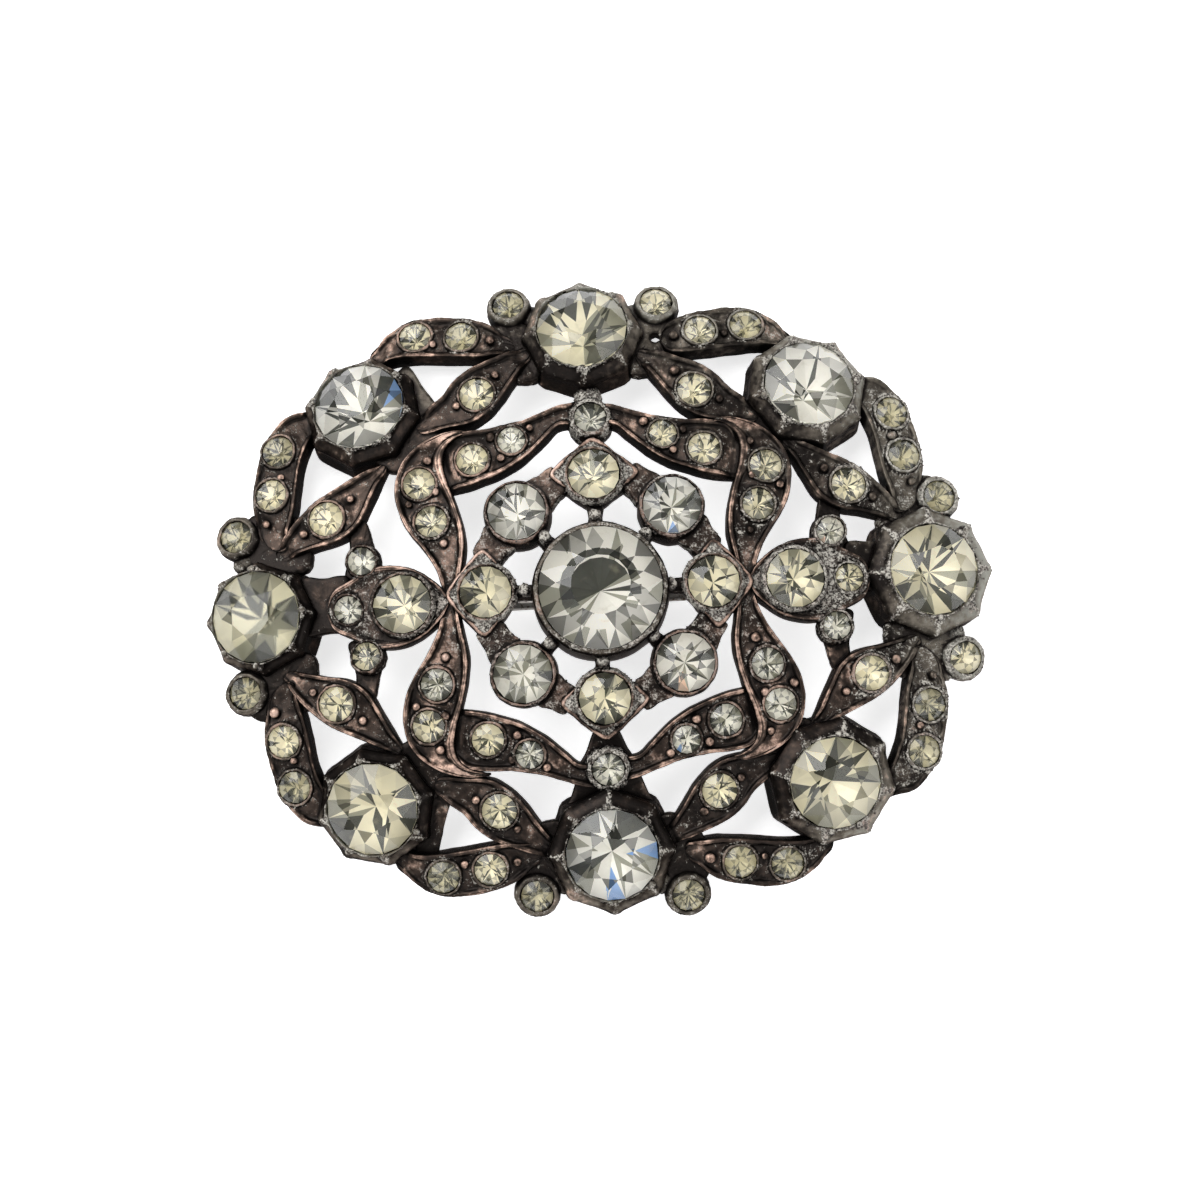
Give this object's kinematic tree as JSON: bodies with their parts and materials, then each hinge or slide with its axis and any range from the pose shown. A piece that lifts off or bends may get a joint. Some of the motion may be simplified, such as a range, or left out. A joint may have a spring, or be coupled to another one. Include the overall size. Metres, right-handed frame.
{
  "type": "rhinestone brooch",
  "caption": "Domed oval openwork brooch of dark aged metal, set with round foil-backed glass stones in cups, collets and pierced leaves, with a pin at the back.",
  "frame": {"origin": "centre of the bounding box's base: on the surface that the eight rim cups stand on, under the middle of the oval", "axes": "+Z out of the brooch's front, up as it lies; +X along the oval's long side, to the right in the picture; +Y to the top of the picture"},
  "size_m": [0.0573, 0.0474, 0.0102],
  "materials": {
    "aged_metal": "dark tarnish worn to copper on the edges",
    "foiled_glass": "cut, polished and foil-backed",
    "pin_metal": "dull"
  },
  "bodies": {
    "root": {"setting": "aged_metal", "centre_stone": "foiled_glass", "rim_stone_1": "foiled_glass", "rim_stone_2": "foiled_glass", "rim_stone_3": "foiled_glass", "rim_stone_4": "foiled_glass", "rim_stone_5": "foiled_glass", "rim_stone_6": "foiled_glass", "rim_stone_7": "foiled_glass", "rim_stone_8": "foiled_glass", "halo_stone_1": "foiled_glass", "halo_stone_2": "foiled_glass", "halo_stone_3": "foiled_glass", "halo_stone_4": "foiled_glass", "halo_stone_5": "foiled_glass", "halo_stone_6": "foiled_glass", "halo_stone_7": "foiled_glass", "halo_stone_8": "foiled_glass", "link_stone_1": "foiled_glass", "link_stone_2": "foiled_glass", "trefoil_stone_1": "foiled_glass", "trefoil_stone_2": "foiled_glass", "trefoil_side_stone_1": "foiled_glass", "trefoil_side_stone_2": "foiled_glass", "trefoil_side_stone_3": "foiled_glass", "trefoil_side_stone_4": "foiled_glass", "trefoil_side_stone_5": "foiled_glass", "trefoil_side_stone_6": "foiled_glass", "flank_stone_1": "foiled_glass", "flank_stone_2": "foiled_glass", "flank_stone_3": "foiled_glass", "flank_stone_4": "foiled_glass", "flank_stone_5": "foiled_glass", "flank_stone_6": "foiled_glass", "flank_stone_7": "foiled_glass", "flank_stone_8": "foiled_glass", "scroll_stones": "foiled_glass", "rim_leaf_stones": "foiled_glass", "inner_leaf_stones": "foiled_glass", "pin_clasp": "pin_metal"}
  },
  "joints": []
}
